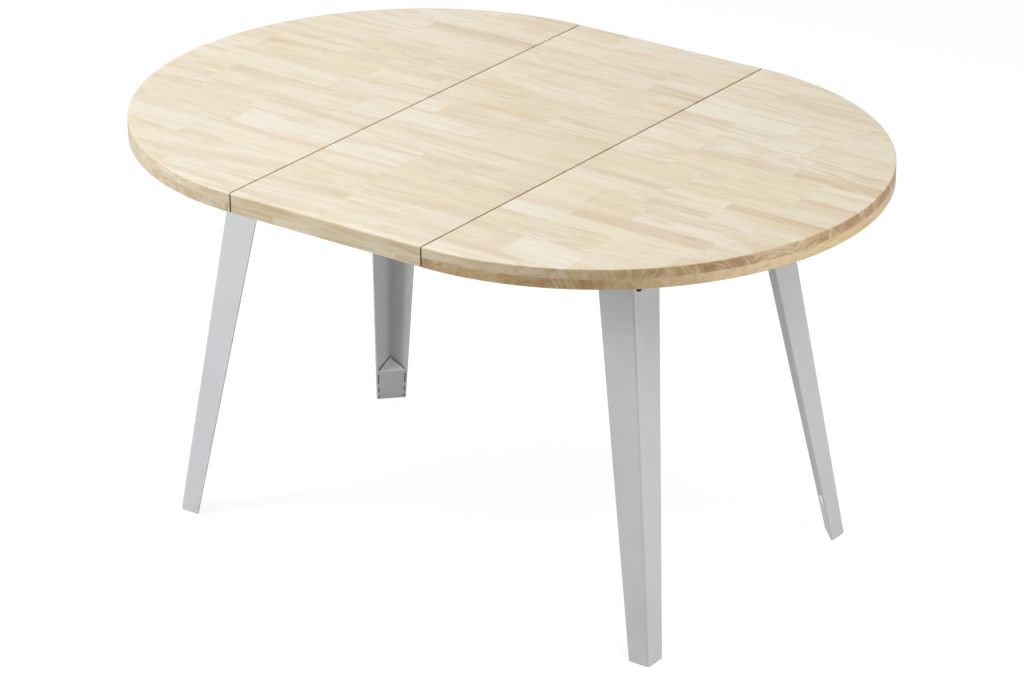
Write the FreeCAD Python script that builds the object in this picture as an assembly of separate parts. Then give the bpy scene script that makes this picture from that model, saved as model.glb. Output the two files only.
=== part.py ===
import FreeCAD, Part
import math
import os

Vec = FreeCAD.Vector
UP = Vec(0, 0, 1)

# Table top: two half-round ends and a leaf, each of an upper board on a backing board
round_diameter = 1000.0
leaf_pitch = 400.0
table_height = 755.0
board_thickness = 18.0
backing_thickness = 18.0
seam_gap = 2.4
edge_round = 2.5
seam_round = 1.0
lower_round = 1.5
leaf_seat_gap = 0.3

# How far each end pulls out from the leaf
spread_travel = 50.0

# Legs: folded sheet with an L section, ridge outwards, splayed both ways
foot_reach_x = 515.0
foot_reach_y = 307.0
shoulder_reach_x = 420.0
shoulder_reach_y = 221.0
flange_at_foot = 40.0
flange_at_shoulder = 77.0
sheet_thickness = 3.0
sheet_bend_radius = 4.5
tab_depth = 42.0
tab_corner_cut = 12.0
tab_mitre_gap = 2.0
relief_width = 8.0
relief_height = 7.0
tab_hole_shares = ((0.50, 0.50), (0.82, 0.42))
hang_hole_diameter = 18.0
hang_hole_inset = 14.0
hang_hole_level = 644.0
plug_rim = 1.0
plug_rim_thickness = 1.2

# Foot plates and glides
foot_plate_height = 64.5
foot_plate_thickness = 2.0
foot_plate_setback = 0.5
foot_lid_rise = 17.5
foot_lid_gap = 2.5
stitch_gap_depth = 2.5
stitch_gap_shares = ((0.0, 0.12), (0.24, 0.41), (0.55, 0.86))
glide_thickness = 1.5
glide_plug_height = 8.0
glide_plug_clearance = 0.4

# Runners of the two slides: left, centre and right side by side
runner_height = 43.0
end_runner_width = 26.0
centre_runner_width = 34.0
runner_side_gap = 0.5
runner_inset = 48.0
end_runner_reach = 590.0
end_runner_overlap = 180.0
centre_runner_length = 760.0
centre_runner_top_gap = 0.5
centre_runner_drop = 2.0
runner_nose_cut = 14.0

# Dovetail tongues on the end runners, in grooves of the centre runner
dovetail_level = 14.0
dovetail_root = 10.0
dovetail_tip = 16.0
dovetail_depth = 9.0
dovetail_clearance = 0.4

# Stop pins in the centre runners, in grooves along the tongues
stop_pin_reach = 300.0
stop_pin_diameter = 5.0
stop_pin_drop = 4.0
stop_groove_depth = 5.0
stop_groove_height = 6.4
stop_end_gap = 0.3
stop_pin_root = 1.0

# Racks and pinions that make both ends move alike
gear_module = 2.0
pinion_teeth = 20
pressure_angle = math.radians(20)
dedendum_share = 1.25
tooth_backlash = 0.30
pinion_thickness = 9.0
pinion_side_gap = 0.3
pinion_notch_clearance = 1.5
rack_height = 12.0
rack_back = 4.5
rack_spare = 20.0
shoulder_diameter = 8.0
shoulder_running_gap = 0.05
shoulder_bite = 12.0
bolt_head_diameter = 15.0
bolt_head_height = 4.0

# Cross bars under the centre runners
cross_bar_reach = 170.0
cross_bar_width = 40.0
cross_bar_thickness = 14.0
cross_bar_end_round = 8.0

# Cleats that hold the leaf sideways
cleat_length = 300.0
cleat_width = 24.0
cleat_height = 16.0
cleat_side_gap = 0.5
cleat_bevel = 6.0
cleat_screw_pitch = 200.0

# Hook locks across the seams
lock_inset = 170.0
lock_plate_length = 64.0
lock_plate_width = 44.0
lock_plate_thickness = 2.5
lock_plate_margin = 6.0
plate_corner_round = 5.0
lock_pivot_offset = 36.0
lock_screw_inset = 9.0
rivet_diameter = 7.0
rivet_running_gap = 0.05
rivet_head_diameter = 14.0
rivet_head_height = 2.0
lever_thickness = 3.5
lever_face_gap = 0.3
lever_hub_radius = 11.0
lever_arm_width = 14.0
lever_handle_length = 62.0
lever_handle_width = 13.0
hook_wall = 5.0
hook_clearance = 1.2
hook_lead_angle = 11.0
hook_heel_angle = 17.0
hook_seat_angle = 10.0
lever_swing = 90.0

# Keepers on the leaf
keeper_offset = 22.0
keeper_length = 34.0
keeper_width = 40.0
keeper_thickness = 2.5
keeper_pin_diameter = 6.0
keeper_pin_drop = 7.0
keeper_screw_inset = 7.0

# Alignment plates under the free corners of the seams
align_inset = 70.0
align_stagger = 35.0
align_plate_length = 70.0
align_plate_width = 30.0
align_plate_thickness = 2.5
align_plate_under_leaf = 28.0
align_screw_pitch = 22.0

# Screws
screw_diameter = 5.0
screw_head_diameter = 10.0
screw_head_height = 3.0
screw_bite = 14.0
small_screw_diameter = 3.5
small_screw_head_diameter = 7.0
small_screw_length = 14.0
runner_counterbore_depth = 25.0
runner_counterbore_diameter = 12.0
runner_screw_shares = (0.10, 0.48, 0.88)

# One overrun serves every cut
cut_overrun = 2.0

# Levels and places that follow from the sizes above
end_radius = round_diameter / 2
seam_line = leaf_pitch / 2
board_base = table_height - board_thickness
underside = board_base - backing_thickness
leaf_underside = underside + leaf_seat_gap
centre_line = runner_inset + end_runner_width + runner_side_gap + centre_runner_width / 2
runner_face = centre_runner_width / 2 + runner_side_gap
runner_outer = centre_line + runner_face + end_runner_width
runner_base = underside - runner_height
rack_roof = runner_base + rack_height
pitch_radius = gear_module * pinion_teeth / 2
tip_radius = pitch_radius + gear_module
root_radius = pitch_radius - gear_module * dedendum_share
rack_back_line = pitch_radius + gear_module * dedendum_share + rack_back
centre_top = underside - centre_runner_top_gap
centre_base = runner_base - centre_runner_drop
pinion_base = rack_roof - pinion_side_gap - pinion_thickness
lever_top = underside - lock_plate_thickness - lever_face_gap
lever_base = lever_top - lever_thickness
lock_reach = end_radius - lock_inset
align_reach = end_radius - align_inset
hook_radius = lock_pivot_offset + keeper_offset
hook_slot = keeper_pin_diameter / 2 + hook_clearance
half_turn = math.pi
diagonal_share = math.sqrt(0.5)
level_share = 0.001


def save(name, *solids):
    shape = solids[0] if len(solids) == 1 else Part.makeCompound(list(solids))
    shape.exportStep("parts/" + name + ".step")
    print(name, len(shape.Solids), shape.isValid(), round(shape.Volume))


def prism(points, height):
    face = Part.Face(Part.makePolygon(points + points[:1]))
    return face.extrude(height)


def box(low, high):
    return Part.makeBox(high.x - low.x, high.y - low.y, high.z - low.z, low)


def post(radius, x, y, low, high):
    return Part.makeCylinder(radius, high - low, Vec(x, y, low))


def mirrored(shape, side_x, side_y):
    if side_x < 0:
        shape = shape.mirror(Vec(), Vec(1, 0, 0))
    if side_y < 0:
        shape = shape.mirror(Vec(), Vec(0, 1, 0))
    return shape


def turned(points, x, y):
    wire = Part.makePolygon([Vec(x + r, y, z) for r, z in points])
    closed = Part.Wire(wire.Edges + [Part.makeLine(Vec(x, y, points[-1][1]), Vec(x, y, points[0][1]))])
    return Part.Face(closed).revolve(Vec(x, y, 0), UP, 360)


def edges_at(shape, level):
    found = []
    for edge in shape.Edges:
        box_z = edge.BoundBox
        if abs(box_z.ZMin - level) + abs(box_z.ZMax - level) < edge_round * level_share:
            found.append(edge)
    return found


# Screws point upwards from the face that their head bears on

def pan_screw(x, y, face, length):
    head = screw_head_diameter / 2
    shank = screw_diameter / 2
    low = face - screw_head_height
    crown = head * diagonal_share
    points = [(0, low), (crown, low), (head, low + head - crown), (head, face), (shank, face)]
    return turned(points + [(shank, face + length), (0, face + length)], x, y)


def flush_screw(x, y, face):
    head = small_screw_head_diameter / 2
    shank = small_screw_diameter / 2
    neck = face + head - shank
    points = [(0, face), (head, face), (shank, neck), (shank, face + small_screw_length)]
    return turned(points + [(0, face + small_screw_length)], x, y)


# Table top

def end_slab(low, thickness):
    flat = seam_line + seam_gap / 2
    corner = math.sqrt(end_radius ** 2 - (seam_gap / 2) ** 2)
    start = Vec(flat, -corner, low)
    finish = Vec(flat, corner, low)
    rim = Part.Arc(start, Vec(seam_line + end_radius, 0, low), finish).toShape()
    outline = Part.Wire([rim, Part.makeLine(finish, start)])
    return Part.Face(outline).extrude(UP * thickness)


def leaf_slab(low, thickness):
    half = seam_line - seam_gap / 2
    return box(Vec(-half, -end_radius, low), Vec(half, end_radius, low + thickness))


def eased(slab, level, rim_round):
    rims = [edge for edge in edges_at(slab, level) if edge.BoundBox.XLength > edge_round]
    slab = slab.makeFillet(rim_round, rims)
    seams = [edge for edge in edges_at(slab, level) if edge.BoundBox.XLength < edge_round]
    return slab.makeFillet(seam_round, seams)


# Legs, drawn for the corner at +X and +Y; u and v are measured inwards from the ridge

def ridge_point(u, v, z):
    share = z / underside
    x = foot_reach_x + (shoulder_reach_x - foot_reach_x) * share
    y = foot_reach_y + (shoulder_reach_y - foot_reach_y) * share
    return Vec(x - u, y - v, z)


def flange_at(z):
    return flange_at_foot + (flange_at_shoulder - flange_at_foot) * z / underside


def leg_section(z):
    width = flange_at(z)
    bend = sheet_bend_radius
    sheet = sheet_thickness
    outer = bend * (1 - diagonal_share)
    inner = bend - (bend - sheet) * diagonal_share

    def line(a, b):
        return Part.makeLine(ridge_point(*a, z), ridge_point(*b, z))

    def arc(a, b, c):
        return Part.Arc(ridge_point(*a, z), ridge_point(*b, z), ridge_point(*c, z)).toShape()

    return Part.Wire([
        line((width, 0), (bend, 0)),
        arc((bend, 0), (outer, outer), (0, bend)),
        line((0, bend), (0, width)),
        line((0, width), (sheet, width)),
        line((sheet, width), (sheet, bend)),
        arc((sheet, bend), (inner, inner), (bend, sheet)),
        line((bend, sheet), (width, sheet)),
        line((width, sheet), (width, 0)),
    ])


def leg_tab(swap):
    width = flange_at_shoulder
    flat = [(tab_mitre_gap, 0), (width, 0), (width - tab_corner_cut, tab_depth)]
    flat.append((tab_depth + tab_mitre_gap, tab_depth))
    points = [ridge_point(*(reversed(p) if swap else p), underside) for p in flat]
    return prism(points, UP * -sheet_thickness)


def tab_screw_places():
    places = []
    for along_share, across_share in tab_hole_shares:
        along = flange_at_shoulder * along_share
        across = tab_depth * across_share
        places.append(ridge_point(along, across, underside))
        places.append(ridge_point(across, along, underside))
    return places


def leg_screws():
    face = underside - sheet_thickness
    return [pan_screw(p.x, p.y, face, sheet_thickness + screw_bite) for p in tab_screw_places()]


def flange_normal():
    along = ridge_point(0, hang_hole_inset, underside) - ridge_point(0, hang_hole_inset, 0)
    return Vec(along.z, 0, -along.x).normalize()


def hang_disc(radius, start, end):
    normal = flange_normal()
    middle = ridge_point(0, hang_hole_inset, hang_hole_level)
    return Part.makeCylinder(radius, end - start, middle + normal * start, normal)


def hole_plug():
    hole = hang_hole_diameter / 2
    stem = hang_disc(hole, -sheet_thickness, plug_rim_thickness)
    return stem.fuse(hang_disc(hole + plug_rim, 0, plug_rim_thickness)).removeSplitter()


def leg():
    sheet = Part.makeLoft([leg_section(glide_thickness), leg_section(underside)], True, True)
    sheet = sheet.fuse([leg_tab(False), leg_tab(True)]).removeSplitter()
    low = ridge_point(relief_width, relief_width, underside) - UP * relief_height
    high = ridge_point(-relief_width, -relief_width, underside) + UP * cut_overrun
    hole = hang_disc(hang_hole_diameter / 2, -sheet_thickness - cut_overrun, cut_overrun)
    return sheet.cut([box(low, high), hole] + leg_screws())


def foot_quad(outer, inner, z):
    edge = sheet_thickness
    flat = [(outer, edge), (edge, outer), (edge, inner), (inner, edge)]
    points = [ridge_point(u, v, z) for u, v in flat]
    return Part.makePolygon(points + points[:1])


def lid_quad(drop):
    low = foot_plate_height - drop
    high = low + foot_lid_rise
    outer = flange_at(foot_plate_height) - foot_plate_setback - foot_lid_gap
    edge = sheet_thickness + foot_lid_gap
    bend = sheet_bend_radius + foot_lid_gap
    points = [ridge_point(outer, edge, low), ridge_point(edge, outer, low)]
    points += [ridge_point(edge, bend, high), ridge_point(bend, edge, high)]
    return Part.makePolygon(points + points[:1])


def stitch_gap(low, high, swap):
    wires = []
    for z in (low, high):
        outer = flange_at(z) - foot_plate_setback
        start = outer - foot_plate_thickness / diagonal_share - stitch_gap_depth * 2
        end = outer + stitch_gap_depth
        depth = sheet_thickness + stitch_gap_depth
        flat = [(start, 0), (end, 0), (end, depth), (start, depth)]
        points = [ridge_point(*(reversed(p) if swap else p), z) for p in flat]
        wires.append(Part.makePolygon(points + points[:1]))
    return Part.makeLoft(wires, True, True)


def foot_plate():
    quads = []
    depth = foot_plate_thickness / diagonal_share
    for z in (glide_thickness, foot_plate_height):
        outer = flange_at(z) - foot_plate_setback
        quads.append(foot_quad(outer, outer - depth, z))
    plate = Part.makeLoft(quads, True, True)
    lid = Part.makeLoft([lid_quad(0), lid_quad(foot_plate_thickness)], True, True)
    gaps = []
    for low_share, high_share in stitch_gap_shares:
        for swap in (False, True):
            gaps.append(stitch_gap(foot_plate_height * low_share, foot_plate_height * high_share, swap))
    return plate.fuse(lid).removeSplitter().cut(gaps)


def glide():
    wide = flange_at(glide_thickness)
    sheet = sheet_thickness
    bend = sheet_bend_radius
    flat = [(bend, 0), (wide, 0), (wide, sheet), (sheet, wide), (0, wide), (0, bend)]
    pad = prism([ridge_point(u, v, 0) for u, v in flat], UP * glide_thickness)
    wires = []
    near = sheet + glide_plug_clearance
    for z in (glide_thickness, glide_thickness + glide_plug_height):
        inner = flange_at(z) - foot_plate_setback - foot_plate_thickness / diagonal_share
        far = inner - glide_plug_clearance / diagonal_share - glide_plug_clearance
        flat = [(bend, near), (far, near), (near, far), (near, bend)]
        points = [ridge_point(u, v, z) for u, v in flat]
        wires.append(Part.makePolygon(points + points[:1]))
    return pad.fuse(Part.makeLoft(wires, True, True))


# Runners of the rear slide; across is measured from the pinion's axis, outwards

def dovetail_half(depth):
    slope = (dovetail_tip - dovetail_root) / 2 / dovetail_depth
    return dovetail_root / 2 + slope * depth


def runner_point(x, across, z):
    return Vec(x, centre_line + across, z)


def end_runner(side):
    start = -end_runner_overlap if side > 0 else -end_runner_reach
    level = underside - dovetail_level
    tip = runner_face - dovetail_depth
    flat = [(runner_face, underside), (runner_face + end_runner_width, underside)]
    flat += [(runner_face + end_runner_width, runner_base), (rack_back_line, runner_base)]
    flat += [(rack_back_line, rack_roof), (runner_face, rack_roof)]
    flat += [(runner_face, level - dovetail_half(0)), (tip, level - dovetail_half(dovetail_depth))]
    flat += [(tip, level + dovetail_half(dovetail_depth)), (runner_face, level + dovetail_half(0))]
    length = end_runner_reach + end_runner_overlap
    body = prism([runner_point(start, side * across, z) for across, z in flat], Vec(length, 0, 0))
    end = side * end_runner_reach
    nose = [Vec(end, 0, runner_base), Vec(end - side * runner_nose_cut, 0, runner_base)]
    nose.append(Vec(end, 0, runner_base + runner_nose_cut))
    bores = [prism(nose, Vec(0, runner_outer, 0))]
    for x in runner_screw_places(side):
        y = runner_screw_line(side)
        bores.append(post(runner_counterbore_diameter / 2, x, y, runner_base - cut_overrun,
                          runner_base + runner_counterbore_depth))
    return body.cut(bores + runner_screws(side) + [stop_groove(side)])


def stop_groove(side):
    room = stop_pin_diameter / 2 + stop_end_gap
    near = side * (stop_pin_reach - spread_travel - room)
    far = side * (stop_pin_reach + seam_line + room)
    low = underside - dovetail_level - stop_groove_height / 2
    tip = runner_face - dovetail_depth
    flat = [(near, tip - cut_overrun), (far, tip - cut_overrun)]
    flat += [(far, tip + stop_groove_depth), (near, tip + stop_groove_depth)]
    return prism([runner_point(x, side * across, low) for x, across in flat], UP * stop_groove_height)


def stop_pin(side):
    tip = runner_face - dovetail_depth + stop_pin_drop
    root = runner_point(side * stop_pin_reach, side * stop_pin_root, underside - dovetail_level)
    return Part.makeCylinder(stop_pin_diameter / 2, tip - stop_pin_root, root, Vec(0, side, 0))


def runner_screw_line(side):
    middle = (rack_back_line + runner_face + end_runner_width) / 2
    return centre_line + side * middle


def runner_screw_places(side):
    near = seam_line + seam_gap
    room = end_runner_reach - near
    return [side * (near + room * share) for share in runner_screw_shares]


def runner_screws(side):
    face = runner_base + runner_counterbore_depth
    length = underside - face + screw_bite
    y = runner_screw_line(side)
    return [pan_screw(x, y, face, length) for x in runner_screw_places(side)]


def centre_runner():
    half = centre_runner_width / 2
    level = underside - dovetail_level
    deep = runner_face - dovetail_depth - dovetail_clearance
    mouth = dovetail_half(runner_side_gap) + dovetail_clearance
    floor = dovetail_half(dovetail_depth + dovetail_clearance) + dovetail_clearance
    side = [(half, centre_top), (half, level + mouth), (deep, level + floor)]
    side += [(deep, level - floor), (half, level - mouth), (half, centre_base)]
    flat = side + [(-across, z) for across, z in reversed(side)]
    start = -centre_runner_length / 2
    body = prism([runner_point(start, across, z) for across, z in flat], Vec(centre_runner_length, 0, 0))
    reach = tip_radius + pinion_notch_clearance
    low = runner_point(-reach, -half - cut_overrun, centre_base - cut_overrun)
    notch = box(low, runner_point(reach, half + cut_overrun, rack_roof))
    return body.cut([notch, shoulder_bolt(), stop_pin(-1), stop_pin(1)] + cross_bar_screws(1))


# Racks and pinions

def rack(side):
    pitch = math.pi * gear_module
    inward = math.ceil((seam_line + rack_spare) / pitch)
    outward = math.ceil((spread_travel + rack_spare) / pitch)
    slant = math.tan(pressure_angle)
    tip = pitch_radius - gear_module
    root = pitch_radius + gear_module * dedendum_share
    tip_half = pitch / 4 - gear_module * slant
    root_half = pitch / 4 + gear_module * dedendum_share * slant
    flat = [(-outward * pitch, rack_back_line), (-outward * pitch, root)]
    for tooth in range(-outward, inward):
        middle = (tooth + 0.5) * pitch
        flat += [(middle - root_half, root), (middle - tip_half, tip)]
        flat += [(middle + tip_half, tip), (middle + root_half, root)]
    flat += [(inward * pitch, root), (inward * pitch, rack_back_line)]
    points = [runner_point(side * x, side * across, runner_base) for x, across in flat]
    return prism(points, UP * rack_height)


def involute_point(turn, side, axis_angle, offset):
    base_radius = pitch_radius * math.cos(pressure_angle)
    radius = base_radius * math.sqrt(1 + turn ** 2)
    angle = axis_angle + side * (offset - (turn - math.atan(turn)))
    return Vec(radius * math.cos(angle), centre_line + radius * math.sin(angle), pinion_base)


def polar_point(radius, angle):
    return Vec(radius * math.cos(angle), centre_line + radius * math.sin(angle), pinion_base)


def pinion():
    base_radius = pitch_radius * math.cos(pressure_angle)
    tip_turn = math.sqrt((tip_radius / base_radius) ** 2 - 1)
    spread = math.tan(pressure_angle) - pressure_angle
    half_tooth = half_turn / 2 / pinion_teeth - tooth_backlash / 2 / pitch_radius
    offset = half_tooth + spread
    turn_shares = (0, 0.45, 0.75, 1)
    step = 2 * half_turn / pinion_teeth
    edges = []
    for tooth in range(pinion_teeth):
        axis_angle = half_turn / 2 + tooth * step
        rise = [involute_point(tip_turn * share, -1, axis_angle, offset) for share in turn_shares]
        fall = [involute_point(tip_turn * share, 1, axis_angle, offset) for share in reversed(turn_shares)]
        low = polar_point(root_radius, axis_angle - offset)
        high = polar_point(root_radius, axis_angle + offset)
        next_low = polar_point(root_radius, axis_angle + step - offset)
        points = [low] + rise + fall + [high, next_low]
        edges += [Part.makeLine(a, b) for a, b in zip(points, points[1:])]
    disc = Part.Face(Part.Wire(edges)).extrude(UP * pinion_thickness)
    bore = shoulder_diameter / 2 + shoulder_running_gap
    return disc.cut(post(bore, 0, centre_line, pinion_base - cut_overrun, rack_roof))


def shoulder_bolt():
    head = bolt_head_diameter / 2
    shank = shoulder_diameter / 2
    face = pinion_base - pinion_side_gap
    points = [(0, face - bolt_head_height), (head, face - bolt_head_height), (head, face), (shank, face)]
    return turned(points + [(shank, rack_roof + shoulder_bite), (0, rack_roof + shoulder_bite)], 0, centre_line)


# Cross bars and cleats

def cross_bar(side):
    reach = centre_line + centre_runner_width / 2
    low = Vec(side * cross_bar_reach - cross_bar_width / 2, -reach, centre_base - cross_bar_thickness)
    bar = box(low, Vec(side * cross_bar_reach + cross_bar_width / 2, reach, centre_base))
    upright = [e for e in bar.Edges if e.BoundBox.ZLength > cross_bar_thickness / 2]
    bar = bar.makeFillet(cross_bar_end_round, upright)
    screws = [s for side_y in (1, -1) for s in cross_bar_screws(side_y)]
    return bar.cut(screws)


def cross_bar_screws(side_y):
    face = centre_base - cross_bar_thickness
    length = cross_bar_thickness + screw_bite
    return [pan_screw(side * cross_bar_reach, side_y * centre_line, face, length) for side in (1, -1)]


def cleat():
    near = runner_outer + cleat_side_gap
    low = leaf_underside - cleat_height
    flat = [(near, leaf_underside), (near, low), (near + cleat_width - cleat_bevel, low)]
    flat += [(near + cleat_width, low + cleat_bevel), (near + cleat_width, leaf_underside)]
    start = -cleat_length / 2
    return prism([Vec(start, y, z) for y, z in flat], Vec(cleat_length, 0, 0)).cut(cleat_screws())


def cleat_screws():
    y = runner_outer + cleat_side_gap + (cleat_width - cleat_bevel) / 2
    face = leaf_underside - cleat_height
    length = cleat_height + screw_bite
    return [pan_screw(side * cleat_screw_pitch / 2, y, face, length) for side in (1, -1)]


# Locks, drawn for the seam at +X and the rear half

def rounded_plate(low, high):
    plate = box(low, high)
    upright = [e for e in plate.Edges if e.BoundBox.ZLength > (high.z - low.z) / 2]
    return plate.makeFillet(plate_corner_round, upright)


def lock_pivot():
    return Vec(seam_line + lock_pivot_offset, lock_reach, 0)


def lock_screws():
    near = seam_line + lock_plate_margin + lock_screw_inset
    far = seam_line + lock_plate_margin + lock_plate_length - lock_screw_inset
    shift = lock_plate_width / 2 - lock_screw_inset
    face = underside - lock_plate_thickness
    return [flush_screw(near, lock_reach - shift, face), flush_screw(far, lock_reach + shift, face)]


def rivet():
    pivot = lock_pivot()
    shank = rivet_diameter / 2
    head = rivet_head_diameter / 2
    face = lever_base - lever_face_gap
    low = face - rivet_head_height
    points = [(0, low), (head * diagonal_share, low), (head, face), (shank, face)]
    return turned(points + [(shank, underside), (0, underside)], pivot.x, pivot.y)


def lock_plate():
    start = seam_line + lock_plate_margin
    low = Vec(start, lock_reach - lock_plate_width / 2, underside - lock_plate_thickness)
    high = Vec(start + lock_plate_length, lock_reach + lock_plate_width / 2, underside)
    return rounded_plate(low, high).cut(lock_screws() + [rivet()])


def ring_sector(inner, outer, first, last):
    middle = (first + last) / 2

    def at(radius, degrees):
        angle = math.radians(degrees)
        return Vec(radius * math.cos(angle), radius * math.sin(angle), lever_base)

    rim = Part.Arc(at(outer, first), at(outer, middle), at(outer, last)).toShape()
    hollow = Part.Arc(at(inner, last), at(inner, middle), at(inner, first)).toShape()
    ends = [Part.makeLine(at(outer, last), at(inner, last)), Part.makeLine(at(inner, first), at(outer, first))]
    return Part.Face(Part.Wire([rim, ends[0], hollow, ends[1]])).extrude(UP * lever_thickness)


def hook_cut(inner, outer):
    seat = outer * math.tan(math.radians(hook_seat_angle))
    mouth = outer * math.tan(math.radians(2 * hook_lead_angle))
    flat = [(0, 0), (-outer, seat), (-outer, -mouth)]
    wedge = prism([Vec(x, y, lever_base) for x, y in flat], UP * lever_thickness)
    return wedge.cut(post(inner, 0, 0, lever_base, lever_top))


def lever():
    locked = 180.0
    inner = hook_radius - hook_slot
    outer = hook_radius + hook_slot
    hub = post(lever_hub_radius, 0, 0, lever_base, lever_top)
    arm = box(Vec(-inner, -lever_arm_width / 2, lever_base), Vec(0, lever_arm_width / 2, lever_top))
    hook = ring_sector(inner - hook_wall, outer + hook_wall, locked - hook_heel_angle, locked + hook_lead_angle)
    half = lever_handle_width / 2
    tip = lever_handle_length - half
    flat = [(0, -lever_hub_radius), (tip, -half), (tip, half), (0, lever_hub_radius)]
    handle = prism([Vec(x, y, lever_base) for x, y in flat], UP * lever_thickness)
    grip = post(half, tip, 0, lever_base, lever_top)
    bore = post(rivet_diameter / 2 + rivet_running_gap, 0, 0, lever_base, lever_top)
    body = hub.fuse([arm, hook, handle, grip]).removeSplitter().cut([hook_cut(inner, outer), bore])
    body.rotate(Vec(), UP, -lever_swing)
    body.translate(lock_pivot())
    return body


def keeper_screws():
    shift = keeper_width / 2 - keeper_screw_inset
    x = seam_line - keeper_offset
    face = leaf_underside - keeper_thickness
    return [flush_screw(x, lock_reach + side * shift, face) for side in (1, -1)]


def keeper():
    x = seam_line - keeper_offset
    low = Vec(x - keeper_length / 2, lock_reach - keeper_width / 2, leaf_underside - keeper_thickness)
    high = Vec(x + keeper_length / 2, lock_reach + keeper_width / 2, leaf_underside)
    pin = post(keeper_pin_diameter / 2, x, lock_reach, low.z - keeper_pin_drop, high.z - keeper_thickness / 2)
    return rounded_plate(low, high).fuse(pin).cut(keeper_screws())


def align_line(side):
    return align_reach + (align_stagger if side > 0 else 0)


def align_screws(side):
    x = seam_line + (align_plate_length - align_plate_under_leaf) / 2
    face = underside - align_plate_thickness
    return [flush_screw(x + end * align_screw_pitch / 2, align_line(side), face) for end in (1, -1)]


def align_plate(side):
    start = seam_line - align_plate_under_leaf
    low = Vec(start, align_line(side) - align_plate_width / 2, underside - align_plate_thickness)
    high = Vec(start + align_plate_length, align_line(side) + align_plate_width / 2, underside)
    return rounded_plate(low, high).cut(align_screws(side))


# Every piece is placed from its drawing for one corner or one slide

sides = ((-1, "left"), (1, "right"))
banks = ((-1, "front"), (1, "rear"))


def both_banks(shapes, side):
    return [mirrored(shape, side, bank) for bank, _ in banks for shape in shapes]


def make_end(side, name):
    leg_fixings = both_banks(leg_screws(), side)
    lock_fixings = both_banks(lock_screws(), side)
    align_fixings = both_banks(align_screws(side), side)
    runner_fixings = both_banks(runner_screws(side), 1)
    board = mirrored(eased(end_slab(board_base, board_thickness), table_height, edge_round), side, 1)
    backing = mirrored(eased(end_slab(underside, backing_thickness), underside, lower_round), side, 1)
    save(name + "_end_board", board)
    save(name + "_end_backing", backing.cut(leg_fixings + lock_fixings + align_fixings + runner_fixings))
    save(name + "_leg_screws", *leg_fixings)
    save(name + "_lock_screws", *lock_fixings)
    save(name + "_align_screws", *align_fixings)
    save(name + "_runner_screws", *runner_fixings)
    save(name + "_align_plates", *both_banks([align_plate(side)], side))
    save(name + "_lock_plates", *both_banks([lock_plate()], side))
    save(name + "_lock_rivets", *both_banks([rivet()], side))
    save(name + "_hole_plugs", *both_banks([hole_plug()], side))
    for bank, bank_name in banks:
        corner = bank_name + "_" + name
        save(corner + "_leg", mirrored(leg(), side, bank))
        save(corner + "_foot_plate", mirrored(foot_plate(), side, bank))
        save(corner + "_glide", mirrored(glide(), side, bank))
        save(corner + "_runner", mirrored(end_runner(side), 1, bank))
        save(corner + "_rack", mirrored(rack(side), 1, bank))
        save(corner + "_lock_lever", mirrored(lever(), side, bank))


def make_centre():
    for bank, bank_name in banks:
        save(bank_name + "_centre_runner", mirrored(centre_runner(), 1, bank))
        save(bank_name + "_pinion", mirrored(pinion(), 1, bank))
    for side, name in sides:
        save(name + "_cross_bar", cross_bar(side))
    save("pinion_bolts", *both_banks([shoulder_bolt()], 1))
    save("cross_bar_screws", *cross_bar_screws(-1), *cross_bar_screws(1))
    save("stop_pins", *both_banks([stop_pin(-1), stop_pin(1)], 1))


def make_leaf():
    keeper_fixings = both_banks(keeper_screws(), -1) + both_banks(keeper_screws(), 1)
    cleat_fixings = both_banks(cleat_screws(), 1)
    board = eased(leaf_slab(board_base, board_thickness), table_height, edge_round)
    backing = eased(leaf_slab(leaf_underside, board_base - leaf_underside), leaf_underside, lower_round)
    save("leaf_board", board)
    save("leaf_backing", backing.cut(keeper_fixings + cleat_fixings))
    save("leaf_keepers", *both_banks([keeper()], -1), *both_banks([keeper()], 1))
    save("leaf_keeper_screws", *keeper_fixings)
    save("leaf_cleats", *both_banks([cleat()], 1))
    save("leaf_cleat_screws", *cleat_fixings)


os.makedirs("parts", exist_ok=True)
for end_side, end_name in sides:
    make_end(end_side, end_name)
make_centre()
make_leaf()
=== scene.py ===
import math
from functools import partial

import bpy
import numpy as np
from mathutils import Matrix, Vector


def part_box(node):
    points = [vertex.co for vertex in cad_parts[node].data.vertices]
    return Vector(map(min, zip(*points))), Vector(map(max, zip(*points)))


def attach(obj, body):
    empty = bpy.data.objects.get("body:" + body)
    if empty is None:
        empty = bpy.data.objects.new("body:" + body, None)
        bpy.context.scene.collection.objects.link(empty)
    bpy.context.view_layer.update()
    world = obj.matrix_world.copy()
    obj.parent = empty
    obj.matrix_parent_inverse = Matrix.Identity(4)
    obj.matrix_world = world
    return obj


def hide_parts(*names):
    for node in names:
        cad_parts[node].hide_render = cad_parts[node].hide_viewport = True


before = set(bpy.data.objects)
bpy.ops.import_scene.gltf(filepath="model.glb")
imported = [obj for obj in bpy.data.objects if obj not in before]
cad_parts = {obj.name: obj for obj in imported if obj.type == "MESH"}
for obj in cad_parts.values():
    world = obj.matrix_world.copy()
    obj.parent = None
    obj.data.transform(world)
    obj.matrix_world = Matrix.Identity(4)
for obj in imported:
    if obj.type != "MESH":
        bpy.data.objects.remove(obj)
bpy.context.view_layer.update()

scene = bpy.context.scene
scene.view_settings.view_transform = "Standard"

sides = ("left", "right")
banks = ("front", "rear")
print("frame loaded:", len(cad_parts), "nodes")


def addObject(name, data):
    made = bpy.data.objects.new(name, data)
    scene.collection.objects.link(made)
    return made


# Camera of the photograph: the picture is 1024 x 675 and its lens is in pixels of that picture

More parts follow.
